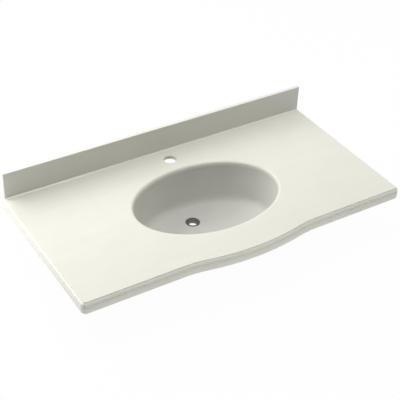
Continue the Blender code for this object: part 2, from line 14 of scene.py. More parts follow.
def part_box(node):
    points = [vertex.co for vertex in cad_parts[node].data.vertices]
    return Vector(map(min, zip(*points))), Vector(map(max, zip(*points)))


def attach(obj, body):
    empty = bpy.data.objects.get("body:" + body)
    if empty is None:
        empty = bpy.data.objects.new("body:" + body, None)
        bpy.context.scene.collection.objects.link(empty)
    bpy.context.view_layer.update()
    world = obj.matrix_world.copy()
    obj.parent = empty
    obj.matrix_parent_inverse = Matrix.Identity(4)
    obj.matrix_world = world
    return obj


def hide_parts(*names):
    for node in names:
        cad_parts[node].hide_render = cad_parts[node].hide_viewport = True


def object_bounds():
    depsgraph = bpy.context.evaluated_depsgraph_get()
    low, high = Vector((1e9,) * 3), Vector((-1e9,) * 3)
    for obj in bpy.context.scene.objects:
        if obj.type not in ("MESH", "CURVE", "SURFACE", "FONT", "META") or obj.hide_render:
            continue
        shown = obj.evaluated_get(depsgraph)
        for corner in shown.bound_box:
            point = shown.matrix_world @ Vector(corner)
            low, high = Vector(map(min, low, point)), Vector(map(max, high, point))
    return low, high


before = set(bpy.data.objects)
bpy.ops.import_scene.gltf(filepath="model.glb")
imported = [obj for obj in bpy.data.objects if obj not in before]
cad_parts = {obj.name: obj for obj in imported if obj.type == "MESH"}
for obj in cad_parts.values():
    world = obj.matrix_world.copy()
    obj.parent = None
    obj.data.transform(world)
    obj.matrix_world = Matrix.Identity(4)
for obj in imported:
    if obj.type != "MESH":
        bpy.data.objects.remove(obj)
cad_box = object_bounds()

MM = 0.001
TAU = math.tau

# Joints and roundings that only the looks have
GAP = 0.3 * MM
BOND = 0.02 * MM
OVERRUN = 5.0 * MM
RAIL_ARRIS = 1.0 * MM
FLANGE_ROUND = 3 * GAP
SHARP = math.radians(32.0)
# So far from a rounded edge, a flat face has one more row of points, which keeps it flat
GUARD = 0.5 * MM

# Sizes of the sheet and its edge
ARRIS_HALF = 538.55 * MM
ARRIS_RADIUS = 8.45 * MM
FRONT_Y = -29.0 * MM
NOSE_ROUND = 6.35 * MM
NOSE_STEP = 3.0 * MM
NOSE_ARRIS = 0.8 * MM
REVEAL = 1.4 * MM
BOW = 23.6 * MM
BOW_CROWN_HALF = 155.0 * MM
BOW_HALF = 230.0 * MM
STRIP_BACK = 6.35 * MM
STRIP_BULGE = 1.2 * MM
STRIP_FOOT_ROUND = 4.5 * MM
STRIP_RETURN = 30.0 * MM
FAUCET_Y = 444.35 * MM
FAUCET_HOLE_RADIUS = 21.0 * MM
HOLE_ARRIS = 0.8 * MM

# Sizes of the backsplash and its bead of sealant
SPLASH_ARRIS = 1.6 * MM
BEAD_RISE = 3.6 * MM
BEAD_REACH = 4.8 * MM
BEAD_HOLLOW = 0.5 * MM
# Each wave along the bead: its share of the legs' size, its rate per metre and its shift
BEAD_WAVES = ((0.05, 61.0, 0.0), (0.04, 143.0, 1.0), (0.03, 377.0, 2.0))

# Sizes of the bowl
BOWL_Y = 220.85 * MM
BOWL_HALF_WIDTH = 238.5 * MM
BOWL_HALF_DEPTH = 162.5 * MM
BOWL_RIM_ROUND = 9.0 * MM
BOWL_WALL = 8.0 * MM
BOWL_DRAFT = math.radians(5.0)
BOWL_FILLET = 28.0 * MM
BOWL_FLOOR_FALL = 6.0 * MM
BOWL_SHIFT = 7.55 * MM
BOWL_PAD_RADIUS = 29.97 * MM
BOWL_FLANGE = 26.0 * MM
FLANGE_FILLET = 3.0 * MM
FLANGE_FILLET_START = 15.0

# Sizes of the drain fitting
DRAIN_Y = 296.35 * MM
WASTE_BORE_RADIUS = 16.0 * MM
WASTE_TUBE_WALL = 2.5 * MM
WASTE_FLANGE = 2.0 * MM
WASTE_RIM_ROUND = 0.6 * MM
WASTE_LIP_ROUND = 0.3 * MM
WASTE_LIP_IN = 0.5 * MM
WASTE_DISH = 0.5 * MM
WASTE_MOUTH_ROUND = 1.0 * MM
WASTE_MOUTH_DEPTH = 4.0 * MM
WASTE_END_CHAMFER = 0.3 * MM
WASTE_END_TAPER = 1.0 * MM
WASTE_COLLAR = 0.4 * MM
WASTE_PITCH = 2.2 * MM
WASTE_THREAD_DEPTH = 0.9 * MM
WASTE_THREAD_TOP = 1.6 * MM
WASTE_THREAD_END = 0.2 * MM
WASTE_PLAY = 0.5 * MM
UPPER_GASKET_ROUND = 0.25 * MM
LOWER_GASKET_ROUND = 0.9 * MM
WASHER_ROUND = 0.2 * MM
LOCKNUT_FLAT = 25.0 * MM
LOCKNUT_MOUTH = 0.5 * MM
LOCKNUT_FACE_SHARE = 0.985

# Sizes of the clips, their screws and the inserts
CLIP_WIDTH = 18.0 * MM
CLIP_THICK = 2.0 * MM
CLIP_GRIP = 14.0 * MM
CLIP_REACH = 26.0 * MM
CLIP_BEND = 2.6 * MM
CLIP_SCREW_OUT = 12.0 * MM
CLIP_ANGLES = [math.radians(a) for a in (0.0, 40.0, 140.0, 180.0, 220.0, 320.0)]
SCREW_RADIUS = 2.5 * MM
SCREW_PITCH = 0.9 * MM
SCREW_THREAD_DEPTH = 0.45 * MM
SCREW_TIP_MIDDLE = 0.3 * MM
SCREW_TIP_TAPER = 0.6 * MM
SCREW_TIP_LEAD = 0.3 * MM
SCREW_THREAD_STOP = 1.2 * MM
SCREW_NECK = 0.5 * MM
SCREW_HEAD_RADIUS = 4.8 * MM
HEAD_EDGE_SHARE = 0.995
HEAD_MIDDLE_SHARE = 0.04
RECESS_DEPTH = 1.3 * MM
RECESS_HALF_WIDTH = 0.6 * MM
RECESS_SIDE = 0.3 * MM
RECESS_REACH = 2.6 * MM
RECESS_END = 0.5 * MM
INSERT_WALL = 1.6 * MM
INSERT_MOUTH = 0.4 * MM
INSERT_PILOT_IN = 0.3 * MM
INSERT_PILOT = 0.8 * MM
INSERT_KNURL_START = 1.0 * MM
KNURL_HALF_DEPTH = 0.15 * MM
KNURLS = 24

# Points round ovals and turned pieces, and steps along edges and curves
OVAL_POINTS = 288
ROUND_POINTS = 96
NUT_POINTS = 144
SCREW_POINTS = 32
CORNER_STEPS = 12
FRONT_STEPS = 240
SIDE_STEPS = 60
BACK_STEPS = 121
STRIP_FACE_STEPS = 12
STRIP_SIDE_STEPS = 11
BAR_ROUND_STEPS = 4
BAR_END_SHARE = 0.98
BEAD_STEPS = 319
BEAD_FACE_STEPS = 8
BOWL_WALL_STEPS = 24
BOWL_FILLET_STEPS = 16
BOWL_FLOOR_STEPS = 36
FLANGE_FILLET_STEPS = 5
WASTE_THREAD_STEPS = 55
SCREW_TURN_STEPS = 5
HEAD_STEPS = 21
NUT_STEPS = 16

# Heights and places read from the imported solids
sheet_low, sheet_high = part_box("deck_panel")
waste_low, waste_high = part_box("waste_flange")
WALL_Y = sheet_high.y
DECK_TOP = sheet_high.z
DECK_UNDER = sheet_low.z
FLANGE_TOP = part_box("bowl_shell")[1].z
FLANGE_UNDER = FLANGE_TOP - BOWL_WALL
PAD_TOP = waste_high.z
WASTE_END = waste_low.z
WASTE_RADIUS = waste_high.x
CORNER_X = ARRIS_HALF - ARRIS_RADIUS
CORNER_Y = FRONT_Y + ARRIS_RADIUS


# Meshes

def skin(rings, closed):
    """Makes a mesh from rings of equally many points, an array (rings, points, 3).

    Every ring closes on itself. With closed set, the last ring joins the first, and without
    it a flat face ends each. The faces are turned outwards by the sign of the volume that
    they hold, the sum of p . (q x r) / 6 over their triangles.
    """
    rows, columns = rings.shape[:2]
    index = np.arange(rows * columns).reshape(rows, columns)
    low = index if closed else index[:-1]
    high = np.roll(index, -1, axis=0)[:len(low)]
    quads = np.stack([low, np.roll(low, -1, 1), np.roll(high, -1, 1), high], -1).reshape(-1, 4)
    ends = np.empty((0, columns), int) if closed else np.stack([index[0][::-1], index[-1]])
    points = rings.reshape(-1, 3)
    volume = 0.0
    for faces in (quads, ends):
        for corner in range(1, faces.shape[1] - 1):
            p, q, r = points[faces[:, 0]], points[faces[:, corner]], points[faces[:, corner + 1]]
            volume += np.einsum("ij,ij->", p, np.cross(q, r))
    if volume < 0:
        quads, ends = quads[:, ::-1], ends[:, ::-1]
    corners = np.concatenate([quads.ravel(), ends.ravel()])
    sizes = np.concatenate([np.full(len(quads), 4), np.full(len(ends), columns)])
    mesh = bpy.data.meshes.new("skin")
    mesh.vertices.add(len(points))
    mesh.vertices.foreach_set("co", points.astype(np.float32).ravel())
    mesh.loops.add(len(corners))
    mesh.loops.foreach_set("vertex_index", corners.astype(np.int32))
    mesh.polygons.add(len(sizes))
    mesh.polygons.foreach_set("loop_start", (np.cumsum(sizes) - sizes).astype(np.int32))
    mesh.update(calc_edges=True)
    mesh.validate()
    return mesh


def show(name, mesh, finish, node):
    """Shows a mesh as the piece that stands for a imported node."""
    mesh.name = name
    mesh.shade_smooth()
    mesh.set_sharp_from_angle(angle=SHARP)
    mesh.materials.clear()
    mesh.materials.append(finish)
    piece = bpy.data.objects.new(name, mesh)
    bpy.context.scene.collection.objects.link(piece)
    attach(piece, "root")
    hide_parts(node)


def bored(mesh, cutters):
    """Cuts closed cutter meshes out of a mesh with exact Booleans, and returns the result."""
    body = bpy.data.objects.new("body", mesh)
    bpy.context.scene.collection.objects.link(body)
    tools = []
    for cutter in cutters:
        tool = bpy.data.objects.new("tool", cutter)
        bpy.context.scene.collection.objects.link(tool)
        step = body.modifiers.new("bore", "BOOLEAN")
        step.solver = "EXACT"
        step.object = tool
        tools.append(tool)
    graph = bpy.context.evaluated_depsgraph_get()
    result = bpy.data.meshes.new_from_object(body.evaluated_get(graph))
    for tool in tools + [body]:
        bpy.data.objects.remove(tool, do_unlink=True)
    return result


def arc(middle, radius, start, end, steps):
    """Points of a circular arc in a plane, from a start to an end angle in degrees."""
    angle = np.radians(np.linspace(start, end, steps + 1))
    return np.column_stack([middle[0] + radius * np.cos(angle), middle[1] + radius * np.sin(angle)])


def around(count):
    """Angles of a ring's points."""
    return np.arange(count) * TAU / count


def ovals(half_width, half_depth, middle_y, height, angle):
    """Rings x = a cos t, y = m + b sin t, z = h, one for each entry of a, b, m and h."""
    a, b, m, h = (np.atleast_1d(v)[:, None] for v in (half_width, half_depth, middle_y, height))
    t = np.broadcast_to(angle, (max(len(v) for v in (a, b, m, h)), len(angle)))
    return np.stack([a * np.cos(t), m + b * np.sin(t), h + 0 * t], -1)


def turned(profile, middle_y, count):
    """Carries (radius, height) points round an upright axis at (0, middle_y).

    Where the radius is an array over the angle, the section changes on its way round.
    """
    angle = around(count)
    rings = [np.broadcast_to(radius, angle.shape) for radius, height in profile]
    heights = [np.broadcast_to(height, angle.shape) for radius, height in profile]
    r, z = np.array(rings), np.array(heights)
    return np.stack([r * np.cos(angle), middle_y + r * np.sin(angle), z], -1)


def placed(rings, place):
    """Moves rings by a matrix: every point p becomes M p + t."""
    matrix = np.array(place)
    return rings @ matrix[:3, :3].T + matrix[:3, 3]


def thread(angle, height, crest, depth, pitch):
    """Radius of a thread, crest - depth |2 f - 1|, f being the share of a turn at that height."""
    share = (height / pitch - angle / TAU) % 1.0
    return crest - depth * np.abs(2 * share - 1)


# Edge of the top

def bow(x):
    """How far the front edge stands out at x, and its slope.

    Within c of the middle it is the crown B - s x^2 / 2c. From there to h it is the reverse
    curve s (h - |x|)^2 / 2(h - c), with s = 2B / h, and beyond h the edge is straight.
    """
    u = np.abs(x)
    steep = 2 * BOW / BOW_HALF
    reverse = BOW_HALF - BOW_CROWN_HALF
    left = np.clip(BOW_HALF - u, 0.0, None)
    crown = u <= BOW_CROWN_HALF
    crown_stand = BOW - steep * u * u / (2 * BOW_CROWN_HALF)
    stand = np.where(crown, crown_stand, steep * left * left / (2 * reverse))
    slope = -np.sign(x) * steep * np.where(crown, u / BOW_CROWN_HALF, left / reverse)
    return stand, slope


def front_line():
    """Points and outward directions of the top arris, from one corner arc to the other.

    Each direction is (-slope, -1) at unit length along the bow, and radial on the arcs.
    """
    turn = np.radians(np.linspace(180.0, 270.0, CORNER_STEPS + 1))
    ray = np.column_stack([np.cos(turn), np.sin(turn)])
    corner = np.array([-CORNER_X, CORNER_Y]) + ARRIS_RADIUS * ray
    x = np.linspace(-CORNER_X, CORNER_X, FRONT_STEPS + 1)[1:-1]
    stand, slope = bow(x)
    length = np.hypot(1.0, slope)
    line = np.column_stack([x, FRONT_Y - stand])
    out = np.column_stack([-slope / length, -1.0 / length])
    flip = np.array([-1.0, 1.0])
    points = np.concatenate([corner, line, corner[::-1] * flip])
    return points, np.concatenate([ray, out, ray[::-1] * flip])


def rim_line():
    """Points and outward directions all round the sheet, from its back left corner.

    Points on the back edge keep to the wall: there the direction is (s, 0), s running from
    1 at the right end to -1 at the left.
    """
    front, front_out = front_line()
    side_y = np.linspace(WALL_Y, CORNER_Y, SIDE_STEPS, endpoint=False)
    left = np.column_stack([np.full(SIDE_STEPS, -ARRIS_HALF), side_y])
    left_out = np.tile((-1.0, 0.0), (SIDE_STEPS, 1))
    flip = np.array([-1.0, 1.0])
    share = np.linspace(1.0, -1.0, BACK_STEPS + 1)[1:-1]
    back = np.column_stack([share * ARRIS_HALF, np.full(len(share), WALL_Y)])
    back_out = np.column_stack([share, np.zeros(len(share))])
    points = np.concatenate([left, front, left[::-1] * flip, back])
    return points, np.concatenate([left_out, front_out, left_out[::-1] * flip, back_out])


def swept(section, points, directions):
    """Rings p + out d at a height, one for each (out, height) of a section."""
    out, height = section[:, 0, None, None], section[:, 1, None, None]
    flat = points + out * directions
    return np.concatenate([flat, np.broadcast_to(height, flat.shape[:2] + (1,))], -1)


def nose_section():
    """The sheet's edge from its top face down: arris, step, quarter round and reveal."""
    nose_foot = DECK_TOP - NOSE_STEP - NOSE_ROUND
    return np.concatenate([
        [(-NOSE_ARRIS - GUARD, DECK_TOP)],
        arc((-NOSE_ARRIS, DECK_TOP - NOSE_ARRIS), NOSE_ARRIS, 90, 0, 4),
        arc((0.0, nose_foot), NOSE_ROUND, 90, 0, 12),
        arc((NOSE_ROUND - REVEAL, DECK_UNDER + REVEAL), REVEAL, 0, -90, 4),
        [(NOSE_ROUND - REVEAL - GUARD, DECK_UNDER)],
    ])


def opening_section():
    """(spread, height) of the bowl opening from the sheet's underside up and over its rim."""
    rim = (BOWL_RIM_ROUND, DECK_TOP - BOWL_RIM_ROUND)
    return np.concatenate([
        [(GUARD, DECK_UNDER), (0.0, DECK_UNDER)],
        arc(rim, BOWL_RIM_ROUND, 180, 90, 14),
        [(BOWL_RIM_ROUND + GUARD, DECK_TOP)],
    ])


def sheet_mesh():
    """The sheet, as rings down its nose and back up through the bowl opening.

    A point of the opening lies on the straight line, in a plane scaled to make the oval
    round, from the bowl's middle to the rim's point of the same number.
    """
    points, directions = rim_line()
    turn = np.arctan2((points[:, 1] - BOWL_Y) / BOWL_HALF_DEPTH, points[:, 0] / BOWL_HALF_WIDTH)
    outer = swept(nose_section(), points, directions)
    spread, height = opening_section().T
    inner = ovals(BOWL_HALF_WIDTH + spread, BOWL_HALF_DEPTH + spread, BOWL_Y, height, turn)
    mesh = skin(np.concatenate([outer, inner]), closed=True)
    cutters = [skin(faucet_hole_rings(), closed=False)]
    bottom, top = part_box("clip_insert_1")
    radius = SCREW_RADIUS + GAP + INSERT_WALL + BOND
    socket = turned([(radius, top.z + BOND), (radius, bottom.z - OVERRUN)], 0.0, SCREW_POINTS)
    cutters += [skin(placed(socket, screw_axis(angle)), closed=False) for angle in CLIP_ANGLES]
    return bored(mesh, cutters)


def faucet_hole_rings():
    """The faucet hole's cutter, which flares by a small round at both faces of the sheet."""
    outer = FAUCET_HOLE_RADIUS + HOLE_ARRIS
    section = np.concatenate([
        [(outer, DECK_TOP + OVERRUN)],
        arc((outer, DECK_TOP - HOLE_ARRIS), HOLE_ARRIS, 90, 180, 4),
        arc((outer, DECK_UNDER + HOLE_ARRIS), HOLE_ARRIS, 180, 270, 4),
        [(outer, DECK_UNDER - OVERRUN)],
    ])
    return turned(section, FAUCET_Y, ROUND_POINTS)


def strip_section():
    """(out, height) round an edge strip.

    The face is a flat crown, out = n + b (1 - s^2) with s from -1 to 1 up its height, over
    a quarter-round foot.
    """
    top = DECK_UNDER - GAP
    share = np.linspace(-1.0, 1.0, STRIP_FACE_STEPS + 1)[1:-1]
    middle, half = (top - REVEAL + STRIP_FOOT_ROUND) / 2, (top - REVEAL - STRIP_FOOT_ROUND) / 2
    face = np.column_stack([NOSE_ROUND + STRIP_BULGE * (1 - share ** 2), middle + half * share])
    foot = NOSE_ROUND - STRIP_FOOT_ROUND
    return np.concatenate([
        [(-STRIP_BACK, top), (-STRIP_BACK, 0.0), (foot - GUARD, 0.0)],
        arc((foot, STRIP_FOOT_ROUND), STRIP_FOOT_ROUND, -90, 0, 6),
        face,
        arc((NOSE_ROUND - REVEAL, top - REVEAL), REVEAL, 0, 90, 4),
        [(NOSE_ROUND - REVEAL - GUARD, top)],
    ])


def front_strip_mesh():
    """The strip section carried along the bowed front edge and round both corners."""
    points, directions = front_line()
    end_y = FRONT_Y + STRIP_RETURN
    points = np.concatenate([[(-ARRIS_HALF, end_y)], points, [(ARRIS_HALF, end_y)]])
    directions = np.concatenate([[(-1.0, 0.0)], directions, [(1.0, 0.0)]])
    return skin(swept(strip_section(), points, directions).transpose(1, 0, 2), closed=False)


def side_strip_mesh(side):
    """The strip section carried straight along one side, from the front strip to the wall."""
    y = np.linspace(FRONT_Y + STRIP_RETURN + GAP / 2, WALL_Y, STRIP_SIDE_STEPS + 1)
    points = np.column_stack([np.full(len(y), side * ARRIS_HALF), y])
    directions = np.tile((side, 0.0), (len(y), 1))
    return skin(swept(strip_section(), points, directions).transpose(1, 0, 2), closed=False)


def bar_mesh(low, high, radius, along):
    """A bar with round edges along an axis, 0 for X and 1 for Y.

    Each ring is a rectangle of half sizes h - r, moved out by q in the corner's directions.
    Along the ends q = r cos u while the ring stands r (1 - sin u) from the end.
    """
    low, high = np.array(low), np.array(high)
    axes = [along] + [i for i in range(3) if i != along]
    half = (high - low)[axes] / 2 - radius
    turn = np.linspace(0.0, 1.0, BAR_ROUND_STEPS + 1) * math.pi / 2
    corner = np.column_stack([np.cos(turn), np.sin(turn)])
    spans, rays = [], []
    for number, sign in enumerate(np.array([(1, 1), (-1, 1), (-1, -1), (1, -1)])):
        backwards = number % 2 == 1
        order = corner[::-1] if backwards else corner
        ray = np.concatenate([order[:1], order, order[-1:]]) * sign
        inset = np.zeros((len(ray), 2))
        inset[[0, -1]] = GUARD * sign * ([(1, 0), (0, 1)] if backwards else [(0, 1), (1, 0)])
        spans.append(half[1:] * sign - inset)
        rays.append(ray)
    span, ray = np.concatenate(spans), np.concatenate(rays)
    u = np.linspace(math.pi / 2 * BAR_END_SHARE, 0.0, BAR_ROUND_STEPS + 1)
    stand = np.append(half[0] + radius * np.sin(u), half[0] - GUARD)
    out = np.append(radius * np.cos(u), radius)
    stand, out = np.concatenate([stand, -stand[::-1]]), np.concatenate([out, out[::-1]])
    flat = span + out[:, None, None] * ray
    lengths = np.broadcast_to(stand[:, None, None], flat.shape[:2] + (1,))
    rings = np.empty(flat.shape[:2] + (3,))
    rings[..., axes] = np.concatenate([lengths, flat], -1)
    return skin(rings + (low + high) / 2, closed=False)


def bead_mesh():
    """The tooled bead of sealant at the backsplash's foot.

    Its hollow face is the chord between the ends of its legs, pushed in by 4 k t (1 - t),
    and its legs swell and shrink a little along the run, by a sum of three sines.
    """
    x = np.linspace(-ARRIS_HALF, ARRIS_HALF, BEAD_STEPS + 1)
    swell = 1 + sum(share * np.sin(x * rate + shift) for share, rate, shift in BEAD_WAVES)
    t = np.linspace(0.0, 1.0, BEAD_FACE_STEPS + 1)
    hollow = BEAD_HOLLOW * 4 * t * (1 - t) * math.sqrt(0.5)
    face = np.column_stack([(1 - t) * BEAD_REACH - hollow, t * BEAD_RISE - hollow])
    section = np.concatenate([[(0.0, 0.0)], face])
    reach, rise = swell[:, None] * section[:, 0], swell[:, None] * section[:, 1]
    face_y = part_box("backsplash")[0].y - BOND
    run = np.broadcast_to(x[:, None], reach.shape)
    return skin(np.stack([run, face_y - reach, DECK_TOP + BOND + rise], -1), closed=False)


# Bowl and waste

def bowl_inside():
    """Half width, half depth, middle and height of the bowl's inner ovals, from its top down.

    The wall falls with the draft d. The fillet insets it by f (cos d - cos u) and drops it by
    f (sin u - sin d). The floor runs straight in to the round pad, by a share s, and falls by
    k s (2 - s).
    """
    floor_top = PAD_TOP + BOWL_FLOOR_FALL
    wall_foot = floor_top + BOWL_FILLET * (1 - math.sin(BOWL_DRAFT))
    depth = FLANGE_TOP - wall_foot
    drop = np.linspace(0.0, depth, BOWL_WALL_STEPS, endpoint=False)
    u = np.linspace(BOWL_DRAFT, math.pi / 2, BOWL_FILLET_STEPS + 1)
    run = BOWL_FILLET * (math.cos(BOWL_DRAFT) - np.cos(u))
    fall = BOWL_FILLET * (np.sin(u) - math.sin(BOWL_DRAFT))
    lean = math.tan(BOWL_DRAFT)
    inset = np.concatenate([lean * drop, lean * depth + run])
    height = np.concatenate([FLANGE_TOP - drop, wall_foot - fall])
    shift = np.concatenate([0 * drop, BOWL_SHIFT * run / run[-1]])
    wide, deep, middle = BOWL_HALF_WIDTH - inset, BOWL_HALF_DEPTH - inset, BOWL_Y + shift
    s = np.linspace(0.0, 1.0, BOWL_FLOOR_STEPS + 1)[1:]
    wide = np.append(wide, wide[-1] + (BOWL_PAD_RADIUS - wide[-1]) * s)
    deep = np.append(deep, deep[-1] + (BOWL_PAD_RADIUS - deep[-1]) * s)
    middle = np.append(middle, middle[-1] + (DRAIN_Y - middle[-1]) * s)
    height = np.append(height, floor_top - BOWL_FLOOR_FALL * s * (2 - s))
    return wide, deep, middle, height


def bowl_outside(inner):
    """The bowl's outer side, one wall out from its inner rings, and the fillet under its flange.

    The outer point is p - w n, where n is the normal, the cross product of the differences
    along and round the inner surface.
    """
    along = np.gradient(inner, axis=0)
    across = np.roll(inner, -1, axis=1) - np.roll(inner, 1, axis=1)
    normal = np.cross(across, along)
    normal *= np.sign(normal[-1, 0, 2])
    normal /= np.linalg.norm(normal, axis=-1, keepdims=True)
    outer = (inner - BOWL_WALL * normal)[::-1]
    outer = outer[outer[:, 0, 2] < FLANGE_UNDER - FLANGE_FILLET]
    out = outer[-1] - [0.0, BOWL_Y, 0.0]
    out[:, 2] = 0.0
    out /= np.linalg.norm(out, axis=-1, keepdims=True)
    turn = np.linspace(FLANGE_FILLET_START, 90.0, FLANGE_FILLET_STEPS + 1)
    u = np.radians(turn)[:, None, None]
    rise = np.concatenate([0 * u, 0 * u, np.sin(u)], -1) * FLANGE_FILLET
    base = outer[-1] * [1.0, 1.0, 0.0] + [0.0, 0.0, FLANGE_UNDER - FLANGE_FILLET]
    fillet = base + out * FLANGE_FILLET * (1 - np.cos(u)) + rise
    return np.concatenate([outer, fillet])


def bowl_mesh():
    """The bowl: its inner ovals, the drain seat, its outer side and the edge of its flange."""
    angle = around(OVAL_POINTS)
    inner = ovals(*bowl_inside(), angle)
    recess = WASTE_RADIUS + WASTE_PLAY
    hole = WASTE_BORE_RADIUS + WASTE_TUBE_WALL + WASTE_PLAY
    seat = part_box("waste_gasket_upper")[0].z - GAP
    drain = [(recess + GAP, PAD_TOP), (recess, PAD_TOP - GAP), (recess, seat)]
    drain += [(hole, seat), (hole, PAD_TOP - BOWL_WALL)]
    bend = arc((-FLANGE_ROUND, FLANGE_UNDER + FLANGE_ROUND), FLANGE_ROUND, -90, 0, 3)
    bend = np.concatenate([bend, [(0.0, FLANGE_TOP - GAP), (-GAP, FLANGE_TOP)]])
    half_width, half_depth = BOWL_HALF_WIDTH + BOWL_FLANGE, BOWL_HALF_DEPTH + BOWL_FLANGE
    edge = ovals(half_width + bend[:, 0], half_depth + bend[:, 0], BOWL_Y, bend[:, 1], angle)
    rings = [inner, turned(drain, DRAIN_Y, OVAL_POINTS), bowl_outside(inner), edge]
    return skin(np.concatenate(rings), closed=True)


def seam_mesh():
    """The seam adhesive, squeezed flush between the bowl's flange and the sheet."""
    low, high = FLANGE_TOP + BOND, DECK_UNDER - BOND
    bulge = arc((BOWL_FLANGE - (high - low), (low + high) / 2), (high - low) / 2, 90, -90, 6)
    spread, height = np.concatenate([[(0.0, low), (0.0, high)], bulge]).T
    half_width, half_depth = BOWL_HALF_WIDTH + spread, BOWL_HALF_DEPTH + spread
    return skin(ovals(half_width, half_depth, BOWL_Y, height, around(OVAL_POINTS)), closed=True)


def waste_mesh():
    """The waste: a dished flange with rolled edges over a threaded tube."""
    bore, rim = WASTE_BORE_RADIUS, WASTE_RADIUS
    tube = bore + WASTE_TUBE_WALL
    under = PAD_TOP - WASTE_FLANGE
    dish = PAD_TOP - WASTE_DISH
    lip = (rim - WASTE_LIP_IN, under + WASTE_LIP_ROUND)
    roll = (rim - WASTE_RIM_ROUND, PAD_TOP - WASTE_RIM_ROUND)
    mouth = (bore + WASTE_MOUTH_ROUND, dish - WASTE_MOUTH_ROUND)
    flange = np.concatenate([
        arc(lip, WASTE_LIP_ROUND, -90, -20, 2),
        arc(roll, WASTE_RIM_ROUND, 0, 90, 5),
        arc(mouth, WASTE_MOUTH_ROUND, 90, 180, 6),
        [(bore, dish - WASTE_MOUTH_DEPTH), (bore, WASTE_END + WASTE_END_CHAMFER)],
        [(bore + WASTE_END_CHAMFER, WASTE_END), (tube - WASTE_END_TAPER, WASTE_END)],
    ])
    profile = [tuple(point) for point in flange]
    lowest, highest = WASTE_END + WASTE_THREAD_END, under - WASTE_THREAD_TOP
    heights = np.linspace(lowest, highest, WASTE_THREAD_STEPS + 1)
    fade = np.clip(np.minimum(heights - lowest, highest - heights) / WASTE_PITCH, 0.0, 1.0)
    angle = around(ROUND_POINTS)
    for height, share in zip(heights, fade):
        depth = WASTE_THREAD_DEPTH * share
        profile.append((thread(angle, height, tube, depth, WASTE_PITCH), height))
    profile += [(tube, under - WASTE_COLLAR), (tube, under)]
    return skin(turned(profile, DRAIN_Y, ROUND_POINTS), closed=True)


def ring_mesh(node, inner, radius):
    """A turned ring in a node's height, its outer edge rounded by a radius."""
    low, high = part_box(node)
    section = np.concatenate([
        [(inner, high.z), (inner, low.z)],
        arc((high.x - radius, low.z + radius), radius, -90, 0, 4),
        arc((high.x - radius, high.z - radius), radius, 0, 90, 4),
    ])
    return skin(turned(section, DRAIN_Y, ROUND_POINTS), closed=True)


def locknut_mesh():
    """The hexagonal locknut, chamfered at both faces.

    Its radius is the smaller of the hexagon's, f / cos(a - 30 degrees) in each sixth, and a
    cone's, f c + d tan 60, where d is the distance from the nearest face.
    """
    low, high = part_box("waste_locknut")
    flat = LOCKNUT_FLAT / np.cos(around(NUT_POINTS) % (TAU / 6) - TAU / 12)
    inner = WASTE_BORE_RADIUS + WASTE_TUBE_WALL + GAP
    mouth = inner + LOCKNUT_MOUTH
    half = (high.z - low.z) / 2
    profile = [(inner, high.z - LOCKNUT_MOUTH), (inner, low.z + LOCKNUT_MOUTH), (mouth, low.z)]
    for height in np.linspace(low.z, high.z, NUT_STEPS + 1):
        depth = half - abs(height - low.z - half)
        cone = LOCKNUT_FLAT * LOCKNUT_FACE_SHARE + depth * math.sqrt(3)
        profile.append((np.minimum(flat, cone), height))
    profile.append((mouth, high.z))
    return skin(turned(profile, DRAIN_Y, NUT_POINTS), closed=True)


# Clips

def clip_place(angle):
    """Place of a clip on the flange's edge, its own +X pointing outwards."""
    a, b = BOWL_HALF_WIDTH + BOWL_FLANGE, BOWL_HALF_DEPTH + BOWL_FLANGE
    turn = math.atan2(math.sin(angle) / b, math.cos(angle) / a)
    middle = (a * math.cos(angle), BOWL_Y + b * math.sin(angle), 0.0)
    return Matrix.Translation(middle) @ Matrix.Rotation(turn, 4, "Z")


def screw_axis(angle):
    """Place of a clip's screw."""
    return clip_place(angle) @ Matrix.Translation((CLIP_SCREW_OUT, 0.0, 0.0))


def clip_line():
    """The clip's middle line, (out, height): under the flange, round the bend and up."""
    under = FLANGE_UNDER - GAP - CLIP_THICK / 2
    upright = CLIP_REACH - CLIP_THICK / 2
    foot = upright - CLIP_BEND
    return np.concatenate([
        [(-CLIP_GRIP, under), (-CLIP_GRIP + GAP, under), (foot - GUARD, under)],
        arc((foot, under + CLIP_BEND), CLIP_BEND, -90, 0, 8),
        [(upright, under + CLIP_BEND + GUARD)],
        [(upright, DECK_UNDER - 2 * GAP), (upright, DECK_UNDER - GAP)],
    ])


def clip_mesh(angle):
    """A clip bent from strip: a rounded section carried along its middle line.

    A section's points are p + t n + w y, where p is a point of the line, n its normal, t a
    distance through the strip and w one across it. The two end sections are a bit narrower.
    """
    line = clip_line()
    step = np.gradient(line, axis=0)
    step /= np.linalg.norm(step, axis=-1, keepdims=True)
    normal = np.column_stack([-step[:, 1], step[:, 0]])
    half, edge = CLIP_THICK / 2, CLIP_WIDTH / 2
    right = arc((edge - GAP, half - GAP), GAP, 90, 0, 2)
    side = np.concatenate([[(0.0, half)], right, right[::-1] * (1, -1), [(0.0, -half)]])
    section = np.concatenate([side, side[1:-1][::-1] * (-1, 1)])
    shrink = np.ones(len(line))
    shrink[[0, -1]] = 1 - GAP / edge
    width, thick = shrink[:, None] * section[:, 0], section[:, 1]
    x = line[:, 0, None] + normal[:, 0, None] * thick
    z = line[:, 1, None] + normal[:, 1, None] * thick
    strip = skin(placed(np.stack([x, width, z], -1), clip_place(angle)), closed=False)
    radius = SCREW_RADIUS + GAP
    hole = turned([(radius, FLANGE_UNDER), (radius, line[0, 1] - OVERRUN)], 0.0, SCREW_POINTS)
    return bored(strip, [skin(placed(hole, screw_axis(angle)), closed=False)])


